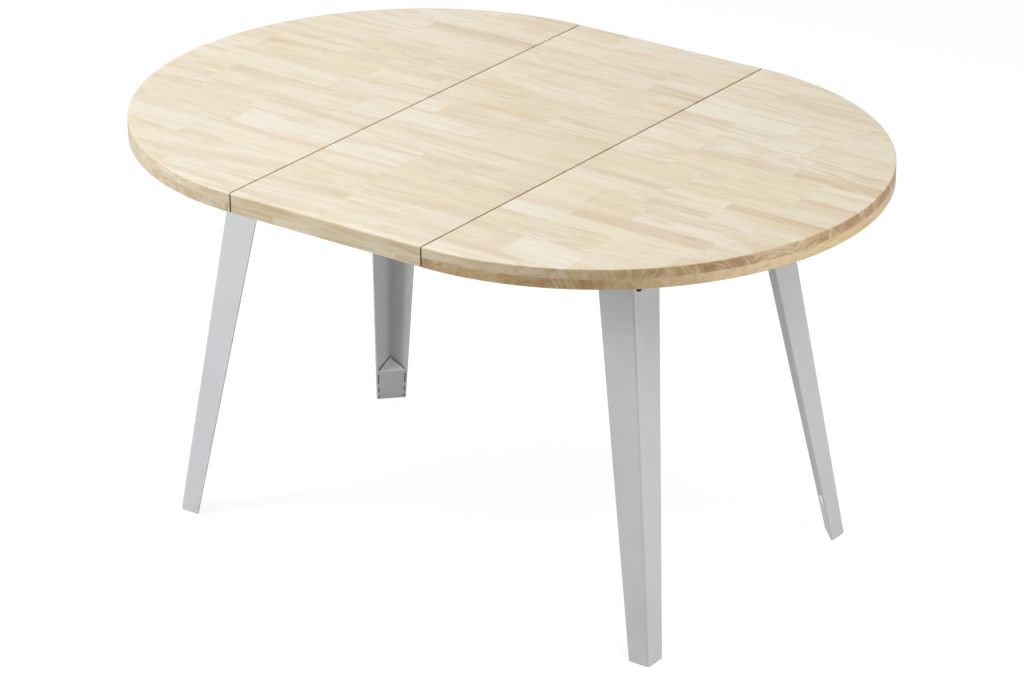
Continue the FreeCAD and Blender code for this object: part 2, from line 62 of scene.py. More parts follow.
view = {
    "pictureWidth": 1024,
    "lensPixels": 4125.9,
    "azimuth": 36.697,
    "elevation": 24.227,
    "roll": -0.615,
    "distance": 7.2244,
    "target": (0.0289, -0.0274, 0.3775),
    "sensorWidth": 36.0,
    "farClip": 100.0,
}


def makeCamera():
    az, el, roll = [math.radians(view[key]) for key in ("azimuth", "elevation", "roll")]
    back = Vector((math.sin(az) * math.cos(el), -math.cos(az) * math.cos(el), math.sin(el)))
    right = Vector((math.cos(az), math.sin(az), 0.0))
    up = back.cross(right)
    rolledRight = right * math.cos(roll) + up * math.sin(roll)
    rolledUp = up * math.cos(roll) - right * math.sin(roll)
    data = bpy.data.cameras.new("tableCamera")
    data.sensor_fit = "HORIZONTAL"
    data.sensor_width = view["sensorWidth"]
    data.lens = view["lensPixels"] / view["pictureWidth"] * view["sensorWidth"]
    data.clip_end = view["farClip"]
    place = Vector(view["target"]) + back * view["distance"]
    turn = Matrix((rolledRight, rolledUp, back)).transposed().to_4x4()
    scene.camera = addObject("tableCamera", data)
    scene.camera.matrix_world = Matrix.Translation(place) @ turn


makeCamera()
print("camera placed")


# Node helpers: every material below is a small graph on object coordinates

def emptyTree(owner):
    owner.use_nodes = True
    owner.node_tree.nodes.clear()
    return owner.node_tree


def feed(tree, node, values):
    # a socket is linked, a number or a colour is set on the input itself
    for key, value in values.items():
        if isinstance(value, bpy.types.NodeSocket):
            tree.links.new(value, node.inputs[key])
        else:
            node.inputs[key].default_value = value


def addNode(tree, kind, values, **settings):
    node = tree.nodes.new(kind)
    for key, value in settings.items():
        setattr(node, key, value)
    feed(tree, node, values)
    return node


def startMaterial(name):
    material = bpy.data.materials.new(name)
    tree = emptyTree(material)
    shader = addNode(tree, "ShaderNodeBsdfPrincipled", {})
    addNode(tree, "ShaderNodeOutputMaterial", {"Surface": shader.outputs["BSDF"]})
    return material, tree, shader


def calc(tree, operation, *values):
    return addNode(tree, "ShaderNodeMath", dict(enumerate(values)), operation=operation).outputs[0]


def objectPlace(tree):
    # the place on the piece, whole and as its three axes
    place = addNode(tree, "ShaderNodeTexCoord", {}).outputs["Object"]
    return place, addNode(tree, "ShaderNodeSeparateXYZ", {0: place}).outputs


def surfaceFacing(tree):
    # how squarely the surface faces along each axis, either way
    normal = addNode(tree, "ShaderNodeNewGeometry", {}).outputs["Normal"]
    split = addNode(tree, "ShaderNodeSeparateXYZ", {0: normal})
    return [calc(tree, "ABSOLUTE", axis) for axis in split.outputs]


def joined(tree, x, y, z):
    return addNode(tree, "ShaderNodeCombineXYZ", {0: x, 1: y, 2: z}).outputs[0]


def noise(tree, place, scale=1.0, detail=2.0, rough=0.5):
    values = {"Vector": place, "Scale": scale, "Detail": detail, "Roughness": rough}
    return addNode(tree, "ShaderNodeTexNoise", values).outputs["Fac"]


def between(tree, value, low, high, outLow=0.0, outHigh=1.0):
    # a smooth step from outLow to outHigh as the value goes from low to high
    values = dict(enumerate((value, low, high, outLow, outHigh)))
    return addNode(tree, "ShaderNodeMapRange", values, interpolation_type="SMOOTHSTEP").outputs[0]


def redrawn(tree, draw, factor):
    # a fresh chance value out of another one
    return calc(tree, "FRACT", calc(tree, "MULTIPLY", draw, factor))


def mixColour(tree, share, first, second):
    # for colours the node's inputs 6 and 7 and its output 2 are in use
    return addNode(tree, "ShaderNodeMix", {0: share, 6: first, 7: second}, data_type="RGBA").outputs[2]


def cloudedGrain(tree, place, look):
    # two tones in soft clouds, and a fine grain
    cloud = noise(tree, place, look["cloudScale"], detail=3.0)
    grain = noise(tree, place, look["grainScale"])
    colour = mixColour(tree, between(tree, cloud, *look["cloudRange"]), look["colour"], look["shade"])
    return cloud, grain, colour


def dressShader(tree, shader, look, colour, sheen, relief):
    # roughness follows one pattern and the bump another; some finishes have a clear coat
    smoothest, rougher = look["roughness"]
    bump = {"Strength": look["bumpStrength"], "Distance": look["bumpDepth"], "Height": relief}
    feed(tree, shader, {
        "Base Color": colour,
        "Roughness": calc(tree, "MULTIPLY_ADD", sheen, rougher, smoothest),
        "Normal": addNode(tree, "ShaderNodeBump", bump).outputs["Normal"],
    })
    if "coat" in look:
        feed(tree, shader, {"Coat Weight": look["coat"], "Coat Roughness": look["coatRoughness"]})


def paintNodes(finishes):
    # a node whose name ends in one of the given ways takes that finish
    for node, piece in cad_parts.items():
        for ending, material in finishes.items():
            if node.endswith(ending):
                for slot in piece.material_slots:
                    slot.material = material


def addPiece(name, mesh, material, body, slot, *nodes):
    # a new piece rides on its body and stands for its nodes
    mesh.materials.append(material)
    piece = addObject(name, mesh)
    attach(piece, body)
    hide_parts(*nodes)


# Boards of the top: staves glued into rows; every stave is one flat face with its own tone

endLow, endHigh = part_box("right_end_board")
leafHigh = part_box("leaf_board")[1]
boards = {
    "radius": leafHigh.y,
    "seam": endHigh.x - leafHigh.y,
    "endFlat": endLow.x,
    "leafFlat": leafHigh.x,
    "gap": endLow.x - (endHigh.x - leafHigh.y),      # half the width of a seam
    "top": endHigh.z,
    "joint": endLow.z,
    "rimRound": 0.0025,
    "seamRound": 0.001,
    "roundSteps": 9,
    "arcSteps": 180,
    "usualStave": 0.23,
    "bandUnit": 0.05,         # a strip of this width is stored as 1
    "crease": math.radians(40),
    "shortest": 1e-6,         # no stave is laid in a shorter gap
    "onLine": 1e-9,           # values as near as this are equal
    "apart": 1e-7,            # a joint nearer to a corner is that corner
    "levelStep": 2e-6,        # outline levels nearer than this become one
    "levelDigits": 9,
    "pointDigits": 6,
    "otherRow": 10.0,         # keeps a wall face from a stave of another row
}


def stave(row, start, end, edge="rear", width=0.02, band=0.0, hue=0.5, pale=0.5, olive=0.0, figure=0.0):
    # band is how strongly a darker strip shows along the front or rear edge of the stave
    reach = width / boards["bandUnit"]
    tone = (pale, olive, figure)
    return {"row": row, "span": (start, end), "tone": tone, "band": (float(edge == "rear"), reach, band, hue)}


# The staves that stand out are listed, the rest are drawn at random between them.
# Edges: how brown the sides are, partly painted warm bounce light, how brown the end grain is, how squarely a
# side has to cut the grain for it to show (low and high), and how dark the painted shade on the seam's wall
# is at its top
boardLooks = {
    "left": {"seed": 11, "rowShift": 0.056, "rowWidth": 0.0773, "bandChance": 0.30,
             "edges": (0.05, 0.45, 0.20, 0.95, 0.00), "staves": [
        stave(3, -0.425, -0.201, "rear", 0.024, 0.80, 0.75),
        stave(2, -0.457, -0.201, "front", 0.030, 0.50, 0.30),
        stave(1, -0.690, -0.465, "rear", 0.018, 0.75, 0.60),
        stave(0, -0.700, -0.625, "rear", 0.034, 0.45, 0.30),
        stave(0, -0.355, -0.230, "rear", 0.008, 0.50, 0.80),
        stave(-1, -0.645, -0.380, "rear", 0.016, 0.50, 0.70),
        stave(-2, -0.585, -0.280, "rear", 0.032, 0.62, 0.45),
        stave(-3, -0.435, -0.201, "rear", 0.016, 0.45, 0.20),
        stave(-4, -0.625, -0.417, olive=0.55),
        stave(-4, -0.417, -0.201, pale=0.0),
        stave(-5, -0.457, -0.201, "rear", 0.007, 0.75, 0.90),
    ]},
    "leaf": {"seed": 29, "rowShift": 0.056, "rowWidth": 0.0773, "bandChance": 0.30,
             "edges": (0.32, 0.80, 0.20, 0.95, 0.10), "staves": [
        stave(4, -0.199, -0.068, "front", 0.007, 0.65, 0.90),
        stave(3, -0.199, -0.170, "rear", 0.024, 0.60, 0.75),
        stave(3, 0.092, 0.199, "front", 0.037, 0.90, 0.75),
        stave(2, -0.199, 0.055, "rear", 0.022, 0.55, 0.70, figure=0.5),
        stave(2, 0.055, 0.130, olive=0.80),
        stave(1, -0.199, -0.063, "front", 0.040, 0.60, 0.30),
        stave(1, -0.063, 0.090, "front", 0.020, 0.35, 0.30),
        stave(-1, -0.199, -0.145, pale=0.1),
        stave(-1, -0.145, 0.199, olive=0.75),
        stave(-2, -0.199, -0.028, pale=0.1),
        stave(-2, -0.028, 0.199, olive=0.45),
        stave(-3, -0.199, 0.115, "rear", 0.018, 0.45, 0.20, figure=0.3),
        stave(-4, -0.199, -0.043, pale=0.0),
        stave(-4, -0.043, 0.065, "rear", 0.020, 0.40, 0.60, olive=0.80),
        stave(-4, 0.065, 0.199, "rear", 0.030, 0.35, 0.60, figure=0.9),
        stave(-5, -0.199, -0.045, "rear", 0.008, 0.70, 0.90),
        stave(-6, -0.028, 0.199, "rear", 0.036, 0.55, 0.50),
        stave(-7, -0.015, 0.199, olive=0.50),
        stave(-8, -0.199, 0.199, pale=0.4),
    ]},
    "right": {"seed": 47, "rowShift": 0.017, "rowWidth": 0.0768, "bandChance": 0.40,
              "edges": (0.26, 1.38, 0.22, 0.98, 0.10), "staves": [
        stave(5, 0.201, 0.490, "front", 0.008, 0.80, 0.90),
        stave(4, 0.300, 0.520, olive=0.35),
        stave(3, 0.201, 0.420, pale=0.1),
        stave(2, 0.201, 0.315, "rear", 0.023, 0.75, 0.80),
        stave(1, 0.201, 0.325, "front", 0.008, 0.60, 0.70),
        stave(1, 0.520, 0.690, "front", 0.040, 0.85, 0.90, figure=1.0),
        stave(0, 0.201, 0.325, "front", 0.014, 0.75, 0.80),
        stave(0, 0.590, 0.700, "front", 0.012, 0.75, 0.80),
        stave(-2, 0.201, 0.383, "rear", 0.022, 0.75, 0.85),
        stave(-2, 0.383, 0.508, "front", 0.030, 0.80, 0.75),
        stave(-2, 0.508, 0.700, "rear", 0.026, 0.95, 1.00),
        stave(-3, 0.410, 0.600, pale=0.1, figure=0.6),
        stave(-4, 0.315, 0.580, "rear", 0.040, 0.80, 0.70),
        stave(-5, 0.270, 0.430, figure=1.0),
        stave(-6, 0.310, 0.440, pale=0.0),
        stave(-7, 0.201, 0.365, "rear", 0.016, 0.65, 0.60),
    ]},
}


def limits(name):
    # half the depth of the board's flat top, and its left and right limits as functions of y
    radius = boards["radius"] - boards["rimRound"]
    if name == "leaf":
        flat = boards["leafFlat"] - boards["seamRound"]
        return radius, lambda y: np.full_like(y, -flat), lambda y: np.full_like(y, flat)
    flat = boards["endFlat"] + boards["seamRound"]
    inset = flat - boards["seam"]
    reach = math.sqrt(radius ** 2 - inset ** 2)

    def curve(y):
        return boards["seam"] + np.sqrt(np.maximum(radius ** 2 - y ** 2, inset ** 2))

    if name == "right":
        return reach, lambda y: np.full_like(y, flat), curve
    return reach, lambda y: -curve(y), lambda y: np.full_like(y, -flat)


chance = {
    "lengths": (0.55, 1.45),         # before they are scaled to fill a gap
    "stripWidth": (0.010, 0.040),
    "stripStrength": (0.15, 0.45),
    "stripHue": (0.1, 0.8),
    "olive": 0.5,                    # the highest; squared, so most are weak
    "figures": (0.0, 0.0, 0.3, 0.6),
}


def layStaves(name, look):
    # rows run along X; gaps between the chosen staves are cut into uneven random lengths
    draw = np.random.default_rng(look["seed"])
    reach, leftOf, rightOf = limits(name)
    middle = np.zeros(1)
    low, high = leftOf(middle)[0], rightOf(middle)[0]
    firstRow = math.floor((-reach - look["rowShift"]) / look["rowWidth"])
    lastRow = math.floor((reach - look["rowShift"]) / look["rowWidth"])
    staves = []
    for row in range(firstRow, lastRow + 1):
        chosen = [dict(entry) for entry in look["staves"] if entry["row"] == row]
        chosen.sort(key=lambda entry: entry["span"][0])
        marks = [low] + [np.clip(x, low, high) for entry in chosen for x in entry["span"]] + [high]
        for entry, start, end in zip(chosen, marks[1::2], marks[2::2]):
            entry["span"] = (start, end)
        for start, end in zip(marks[0::2], marks[1::2]):
            if end - start < boards["shortest"]:
                continue
            offset = draw.uniform(0.0, 1.0) * boards["usualStave"]
            count = max(1, round((end - start + offset) / boards["usualStave"]))
            shares = np.cumsum(draw.uniform(*chance["lengths"], count))
            cuts = np.concatenate(([start], start + (end - start) * shares / shares[-1]))
            for first, last in zip(cuts[:-1], cuts[1:]):
                banded = draw.uniform() < look["bandChance"]
                edge = draw.choice(banks)
                width = draw.uniform(*chance["stripWidth"])
                band = draw.uniform(*chance["stripStrength"]) * banded
                hue = draw.uniform(*chance["stripHue"])
                pale = draw.uniform(0.0, 1.0)
                olive = draw.uniform(0.0, chance["olive"]) ** 2 / chance["olive"]
                figure = draw.choice(chance["figures"])
                chosen.append(stave(row, first, last, edge, width, band, hue, pale, olive, figure))
        chosen.sort(key=lambda entry: entry["span"][0])
        staves += chosen
    seeds = draw.uniform(0.0, 1.0, len(staves))
    return {
        "row": np.array([entry["row"] for entry in staves]),
        "span": np.array([entry["span"] for entry in staves]),
        "tone": np.column_stack((seeds, [entry["tone"] for entry in staves])),
        "band": np.array([entry["band"] for entry in staves]),
    }


def beside(values, fill):
    # one more column, which holds the same number throughout
    return np.column_stack((values, np.full(len(values), fill)))


def staveFaces(name, look, laid, levels):
    # a stave's outline: front edge, right limit, rear edge, left limit, with the joints of the rows beside it
    reach, leftOf, rightOf = limits(name)
    onLine = boards["onLine"]
    faces = []

    def jointsBetween(row, low, high):
        joints = np.unique(laid["span"][laid["row"] == row])
        return joints[(joints > low + boards["apart"]) & (joints < high - boards["apart"])]

    for row, (start, end) in zip(laid["row"], laid["span"]):
        front = max(-reach, look["rowShift"] + row * look["rowWidth"])
        rear = min(reach, look["rowShift"] + (row + 1) * look["rowWidth"])
        ys = levels[(levels >= front - onLine) & (levels <= rear + onLine)]
        lows = np.maximum(start, leftOf(ys))
        highs = np.minimum(end, rightOf(ys))
        inside = highs - lows > -onLine
        ys, lows, highs = ys[inside], lows[inside], highs[inside]
        if len(ys) < 2:
            faces.append(np.zeros((0, 2)))
            continue
        ends = np.zeros(len(ys), bool)
        ends[[0, -1]] = True
        onRight = ends | ((name == "right") & (np.abs(highs - rightOf(ys)) < onLine))
        onLeft = ends | ((name == "left") & (np.abs(lows - leftOf(ys)) < onLine))
        frontJoints = jointsBetween(row - 1, lows[0], highs[0])
        rearJoints = jointsBetween(row + 1, lows[-1], highs[-1])[::-1]
        faces.append(np.concatenate((
            beside(frontJoints, ys[0]),
            np.column_stack((highs, ys))[onRight],
            beside(rearJoints, ys[-1]),
            np.column_stack((lows, ys))[onLeft][::-1],
        )))
    return faces


def outlineLevels(name, look, laid):
    # y levels of the outline: even steps round the arc, the edges of the rows, and where joints meet the rim
    reach = limits(name)[0]
    radius = boards["radius"] - boards["rimRound"]
    rows = look["rowShift"] + look["rowWidth"] * np.arange(laid["row"].min() + 1, laid["row"].max() + 1)
    if name == "leaf":
        return np.concatenate(([-reach], rows, [reach])), rows
    turn = np.linspace(-1.0, 1.0, boards["arcSteps"] + 1) * math.asin(reach / radius)
    joints = np.abs(np.unique(laid["span"])) - boards["seam"]
    joints = joints[(joints > boards["endFlat"] - boards["seam"] + boards["seamRound"]) & (joints < radius)]
    meets = np.sqrt(radius ** 2 - joints ** 2)
    levels = np.concatenate((radius * np.sin(turn), rows, meets, -meets, [-reach, reach]))
    levels = np.unique(np.round(levels, boards["levelDigits"]))
    return levels[np.concatenate(([True], np.diff(levels) > boards["levelStep"]))], rows


def ringAt(name, levels, rows, rimIn, seamIn, frontJoints, rearJoints):
    # one turn round the board, anticlockwise from above, drawn in by rimIn on the rim and seamIn at the seams
    reach = limits(name)[0]
    if name == "leaf":
        flat = boards["leafFlat"] - seamIn
        half = boards["radius"] - rimIn
        inner = boards["leafFlat"] - boards["seamRound"]
        front = np.concatenate(([-inner], frontJoints, [inner])) * flat / inner
        rear = np.concatenate(([inner], rearJoints[::-1], [-inner])) * flat / inner
        return np.concatenate((
            beside(front, -half),
            beside(rows, flat)[:, ::-1],
            beside(rear, half),
            beside(rows[::-1], -flat)[:, ::-1],
        ))
    radius = boards["radius"] - rimIn
    flat = boards["endFlat"] + seamIn
    corner = math.sqrt(radius ** 2 - (flat - boards["seam"]) ** 2)
    arcY = levels * corner / reach
    arcX = boards["seam"] + np.sqrt(radius ** 2 - arcY ** 2)
    seamY = rows[::-1] * corner / reach
    ring = np.concatenate((np.column_stack((arcX, arcY)), beside(seamY, flat)[:, ::-1]))
    return ring if name == "right" else ring[::-1] * (-1, 1)


def boardMesh(name, look):
    laid = layStaves(name, look)
    levels, rows = outlineLevels(name, look, laid)
    faces = staveFaces(name, look, laid, levels)
    kept = np.array([len(face) > 2 for face in faces])
    edgeRows = laid["row"].min(), laid["row"].max()
    inner = boards["leafFlat"] - boards["seamRound"]
    edgeJoints = [np.unique(laid["span"][laid["row"] == row]) for row in edgeRows]
    edgeJoints = [joints[np.abs(joints) < inner - boards["apart"]] for joints in edgeJoints]

    # the wall: straight up, then a quarter round whose height steps serve the rim and the seams alike
    steps = np.linspace(0.0, math.pi / 2, boards["roundSteps"] + 1)
    drops = np.concatenate(([boards["top"] - boards["joint"]], boards["rimRound"] * (1 - np.sin(steps))))

    def drawnIn(size, drop):
        return size - math.sqrt(size ** 2 - max(0.0, size - drop) ** 2)

    rings = []
    for drop in drops:
        rimIn = drawnIn(boards["rimRound"], drop)
        seamIn = drawnIn(boards["seamRound"], drop)
        ring = ringAt(name, levels, rows, rimIn, seamIn, *edgeJoints)
        rings.append(beside(ring, boards["top"] - drop))
    count = len(rings[0])
    index = np.arange(len(drops) * count).reshape(len(drops), count)
    onward = np.roll(index, -1, axis=1)
    walls = np.stack((index[:-1], onward[:-1], onward[1:], index[1:]), axis=-1).reshape(-1, 4)

    # all points together, with those that fall on the same place made one
    flats = [beside(face, boards["top"]) for face in faces if len(face) > 2]
    points = np.concatenate(rings + flats)
    merged, back = np.unique(np.round(points, boards["pointDigits"]), axis=0, return_inverse=True)
    back = back.reshape(-1)
    starts = len(drops) * count + np.concatenate(([0], np.cumsum([len(flat) for flat in flats])))
    polygons = back[walls].tolist()
    for first, last in zip(starts[:-1], starts[1:]):
        face = back[first:last]
        polygons.append(face[face != np.roll(face, -1)].tolist())
    polygons.append(back[index[0]][::-1].tolist())

    # the stave that each wall face is cut from
    centres = (points[walls[:, 0]] + points[walls[:, 1]])[:, :2] / 2
    wallRows = np.floor((centres[:, 1] - look["rowShift"]) / look["rowWidth"]).astype(int)
    wallRows = np.clip(wallRows, *edgeRows)
    near = np.abs(centres[:, :1] - laid["span"].mean(axis=1)) - np.diff(laid["span"]).T / 2
    near = near + boards["otherRow"] * (wallRows[:, None] != laid["row"])
    owners = np.concatenate((near.argmin(axis=1), np.flatnonzero(kept), [0]))

    mesh = bpy.data.meshes.new(name + "Staves")
    mesh.from_pydata(merged.tolist(), [], polygons)
    loops = np.array([len(face) for face in polygons])
    for key, label in (("tone", "staveTone"), ("band", "staveBand")):
        values = np.repeat(laid[key][owners], loops, axis=0)
        layer = mesh.attributes.new(label, "FLOAT_COLOR", "CORNER")
        layer.data.foreach_set("color", values.astype(np.float32).ravel())
    smooth = np.zeros(len(polygons), bool)
    smooth[:len(walls)] = True
    mesh.polygons.foreach_set("use_smooth", smooth)
    mesh.set_sharp_from_angle(angle=boards["crease"])
    mesh.update()
    return mesh


# Rubberwood: pale sapwood with tan strips, streaks along the grain and brown end grain.
# Grain: scale along and across, detail and shift of a noise. Range: where in that noise the pattern comes in

rubberwood = {
    "pale": (0.718, 0.656, 0.534, 1),
    "cream": (0.668, 0.574, 0.388, 1),
    "olive": (0.590, 0.490, 0.310, 1),
    "pinkTan": (0.575, 0.440, 0.280, 1),
    "tan": (0.490, 0.335, 0.170, 1),
    "dark": (0.340, 0.195, 0.085, 1),
    "amber": (0.590, 0.415, 0.185, 1),
    # side is partly the sides' own tone and partly painted warm bounce light
    "side": (0.620, 0.410, 0.160, 1),
    "rim": (0.400, 0.240, 0.075, 1),
    "endGrain": (0.350, 0.190, 0.066, 1),
    # the seam colour is painted shade for the walls of the seams' gaps
    "seam": (0.090, 0.050, 0.028, 1),
    "staveLength": 0.235,     # only for the backing, whose staves are a cell pattern
    "staveStretch": 90.0,
    "cellDraw": 13.7,
    "cellStrip": (0.4, 1.0, 0.0, 0.8),         # which draws give a strip, and how strong a one
    "cellOlive": 3.0, "cellFigure": 0.5,
    "jump": 37.0,             # keeps the pattern of one stave apart from the next
    "slantDraw": 7.3,         # each such factor makes a fresh draw of a stave's own
    "slant": 0.10, "wander": 0.010, "wanderScales": (5.0, 8.0),
    "fibreRough": 0.55,
    "bandGrain": (2.2, 26.0, 2.0, 3.0), "bandRange": (0.50, 0.68), "bandShare": 0.62,
    "streakGrain": (5.0, 95.0, 3.0, 17.0), "streakRange": (0.50, 0.72), "streakShares": (0.35, 0.85),
    "gleamGrain": (3.5, 60.0, 3.0, 53.0), "gleamRange": (0.50, 0.70), "gleamShare": 0.62,
    "blushGrain": (9.0, 34.0, 2.0, 79.0), "blushRange": (0.52, 0.74), "blushShare": 0.42,
    "lineGrain": (13.0, 430.0, 2.0, 29.0), "lineRange": (0.45, 0.72), "lineShare": 0.22,
    "poreGrain": (42.0, 1500.0, 1.0, 41.0), "poreRange": (0.60, 0.74), "poreShare": 0.16,
    "speckGrain": (16.0, 60.0, 1.0, 67.0), "speckRange": (0.76, 0.82), "speckShare": 0.40,
    "sideGrain": (9.0, 140.0, 3.0, 97.0), "sideRange": (0.44, 0.70), "sideStreak": 0.46,
    "streakDraw": 3.7,
    "oliveShare": 0.55, "figureShare": 0.42, "plainRings": 0.03,
    "stripSoft": (0.007, 0.004), "stripRag": 0.022,
    "stripStreaks": (0.34, 0.68, 0.45, 1.0),   # which streaks, and how much of the strip they let show
    "heartDraw": 11.3, "heartDepth": (0.012, 0.050), "heartAside": 0.170,
    "heartTilt": (4.2, 0.011),       # how often along the grain, and how far
    "heartWander": 0.014,
    "ringStep": 0.0040, "ringDrift": 0.020, "ringFade": 14.0, "ringRough": 0.6, "ringRange": (0.40, 0.66),
    "sideFacing": (0.3, 0.9),
    "endTone": (0.20, 0.42, 0.40),   # everywhere, in rings and in blotches
    "endDraw": 5.1, "endVary": (0.72, 1.28), "endStrip": 0.40,
    "blotchScale": 23.0, "blotchRange": (0.35, 0.68),
    # painted shade in the seams: how it softens at the wall, the depths over which it deepens, and how dark
    # it gets
    "seamShadeSoft": 0.0006, "seamShadeDepths": (0.003, 0.006), "seamShadeShare": 0.68,
    "roughness": (0.28, 0.16), "coat": 0.45, "coatRoughness": 0.30,
    "poreDepth": 0.8, "bumpDepth": 0.00012, "bumpStrength": 0.35,
}


def tonesOnMesh(tree):
    # seed, paleness, olive and figure of a stave, then the edge, width, strength and hue of its dark strip
    tones = []
    for label in ("staveTone", "staveBand"):
        source = addNode(tree, "ShaderNodeAttribute", {}, attribute_name=label).outputs
        split = addNode(tree, "ShaderNodeSeparateColor", {0: source["Color"]})
        tones += [*split.outputs, source["Alpha"]]
    return tones


def tonesInCells(tree, along, row, seed, look):
    # staves of uneven length along each row: a random cell pattern on one line, shifted per row
    rowSeed = calc(tree, "ADD", row, seed)
    rowDraw = addNode(tree, "ShaderNodeTexWhiteNoise", {"W": rowSeed}, noise_dimensions="1D")
    lineShift = calc(tree, "MULTIPLY", rowDraw.outputs["Value"], look["staveStretch"])
    spot = calc(tree, "ADD", calc(tree, "DIVIDE", along, look["staveLength"]), lineShift)
    cell = addNode(tree, "ShaderNodeTexVoronoi", {"W": spot, "Scale": 1.0}, voronoi_dimensions="1D")
    split = addNode(tree, "ShaderNodeSeparateColor", {0: cell.outputs["Color"]})
    first, second, third = split.outputs
    again = [redrawn(tree, draw, look["cellDraw"]) for draw in (first, second, third)]
    edge = calc(tree, "ROUND", again[0])
    strength = between(tree, again[2], *look["cellStrip"])
    olive = calc(tree, "POWER", third, look["cellOlive"])
    figure = calc(tree, "MULTIPLY", again[1], look["cellFigure"])
    return [first, second, olive, figure, edge, again[1], strength, second]


def woodMaterial(name, grainAxis, rows, midHeight, edges, seed=None, look=rubberwood):
    material, tree, shader = startMaterial(name)
    plus = partial(calc, tree, "ADD")
    less = partial(calc, tree, "SUBTRACT")
    times = partial(calc, tree, "MULTIPLY")
    timesPlus = partial(calc, tree, "MULTIPLY_ADD")

    def centred(share):
        return less(share, 0.5)

    rowShift, rowWidth = rows
    place, axes = objectPlace(tree)
    alongIndex, acrossIndex = (0, 1) if grainAxis == "X" else (1, 0)
    along, across = axes[alongIndex], axes[acrossIndex]
    height = less(axes[2], midHeight)
    rowPlace = calc(tree, "DIVIDE", less(across, rowShift), rowWidth)
    row = calc(tree, "FLOOR", rowPlace)
    inRow = less(rowPlace, row)
    tones = tonesOnMesh(tree) if seed is None else tonesInCells(tree, along, row, seed, look)
    draw, paleness, olive, figure, edge, bandWidth, bandStrength, bandHue = tones
    jump = times(draw, look["jump"])

    # the grain wanders a little and runs at its own slant in every stave
    wanderAlong, wanderAcross = look["wanderScales"]
    wander = centred(noise(tree, joined(tree, times(along, wanderAlong), times(across, wanderAcross), jump)))
    slant = times(centred(redrawn(tree, draw, look["slantDraw"])), look["slant"])
    grain = timesPlus(wander, look["wander"], timesPlus(slant, along, across))

    def fibre(alongScale, acrossScale, detail, shift):
        far = timesPlus(along, alongScale, plus(jump, shift))
        spot = joined(tree, far, times(grain, acrossScale), times(height, acrossScale))
        return noise(tree, spot, detail=detail, rough=look["fibreRough"])

    kinds = ("band", "streak", "gleam", "blush", "line")
    bands, streaks, gleams, blushes, lines = [fibre(*look[kind + "Grain"]) for kind in kinds]
    pores = between(tree, fibre(*look["poreGrain"]), *look["poreRange"])
    specks = between(tree, fibre(*look["speckGrain"]), *look["speckRange"])

    # growth rings: distance from a heart line below the stave, which tilts along it
    nearest, furthest = look["heartDepth"]
    turns, swing = look["heartTilt"]
    aside = centred(redrawn(tree, draw, look["heartDraw"]))
    sideways = timesPlus(aside, look["heartAside"], times(centred(inRow), rowWidth))
    depth = plus(timesPlus(draw, furthest, nearest), height)
    depth = timesPlus(calc(tree, "SINE", timesPlus(along, turns, jump)), swing, depth)
    depth = timesPlus(wander, look["heartWander"], depth)
    radius = calc(tree, "SQRT", plus(times(sideways, sideways), times(depth, depth)))
    uneven = times(timesPlus(bands, look["ringDrift"], radius), 1 / look["ringStep"])
    fade = joined(tree, uneven, plus(jump, times(along, look["ringFade"])), times(across, look["ringFade"]))
    rings = between(tree, noise(tree, fade, rough=look["ringRough"]), *look["ringRange"])

    # sapwood tone of the stave and the dark strip along one of its edges
    colour = mixColour(tree, paleness, look["pale"], look["cream"])
    colour = mixColour(tree, times(olive, look["oliveShare"]), colour, look["olive"])
    fromFront = times(inRow, rowWidth)
    fromEdge = timesPlus(edge, less(less(rowWidth, fromFront), fromFront), fromFront)
    ragged = timesPlus(centred(streaks), look["stripRag"], fromEdge)
    stripEnd = times(bandWidth, boards["bandUnit"])
    softIn, softOut = look["stripSoft"]
    strip = between(tree, ragged, less(stripEnd, softIn), plus(stripEnd, softOut), 1.0, 0.0)
    streaky = between(tree, streaks, *look["stripStreaks"])
    stripShare = times(times(strip, bandStrength), streaky)
    colour = mixColour(tree, stripShare, colour, mixColour(tree, bandHue, look["pinkTan"], look["tan"]))

    # light and dark bands, blushes, streaks, rings, fine lines, pores and a few specks
    streakShare = between(tree, redrawn(tree, draw, look["streakDraw"]), 0.0, 1.0, *look["streakShares"])
    ringShare = timesPlus(figure, look["figureShare"], look["plainRings"])
    for pattern, shows, share, tone in (
            (gleams, look["gleamRange"], look["gleamShare"], "pale"),
            (bands, look["bandRange"], look["bandShare"], "pinkTan"),
            (blushes, look["blushRange"], look["blushShare"], "amber"),
            (streaks, look["streakRange"], streakShare, "pinkTan"),
            (rings, (0.0, 1.0), ringShare, "tan"),
            (lines, look["lineRange"], look["lineShare"], "tan"),
            (pores, (0.0, 1.0), look["poreShare"], "dark"),
            (specks, (0.0, 1.0), look["speckShare"], "dark")):
        colour = mixColour(tree, times(between(tree, pattern, *shows), share), colour, look[tone])

    # the sides are painted browner, partly their own tone and partly painted warm bounce light, and show
    # streaks
    facing = surfaceFacing(tree)
    sideToneAndBounce, endShare, *endFacing, seamShadeTop = edges
    onSide = between(tree, facing[2], *look["sideFacing"], 1.0, 0.0)
    colour = mixColour(tree, times(onSide, sideToneAndBounce), colour, look["side"])
    sideStreaks = between(tree, fibre(*look["sideGrain"]), *look["sideRange"], 0.0, look["sideStreak"])
    colour = mixColour(tree, times(onSide, sideStreaks), colour, look["rim"])

    # where the grain is cut across, rings and blotches show in brown
    plain, ringed, blotched = look["endTone"]
    blotch = noise(tree, place, look["blotchScale"], detail=3.0, rough=0.6)
    blotch = between(tree, blotch, *look["blotchRange"])
    endTone = timesPlus(blotch, blotched, timesPlus(rings, ringed, plain))
    endVary = between(tree, redrawn(tree, draw, look["endDraw"]), 0.0, 1.0, *look["endVary"])
    endTone = timesPlus(stripShare, look["endStrip"], times(endTone, endVary))
    cutAcross = between(tree, facing[alongIndex], *endFacing, 0.0, endShare)
    colour = mixColour(tree, times(cutAcross, endTone), colour, look["endGrain"])
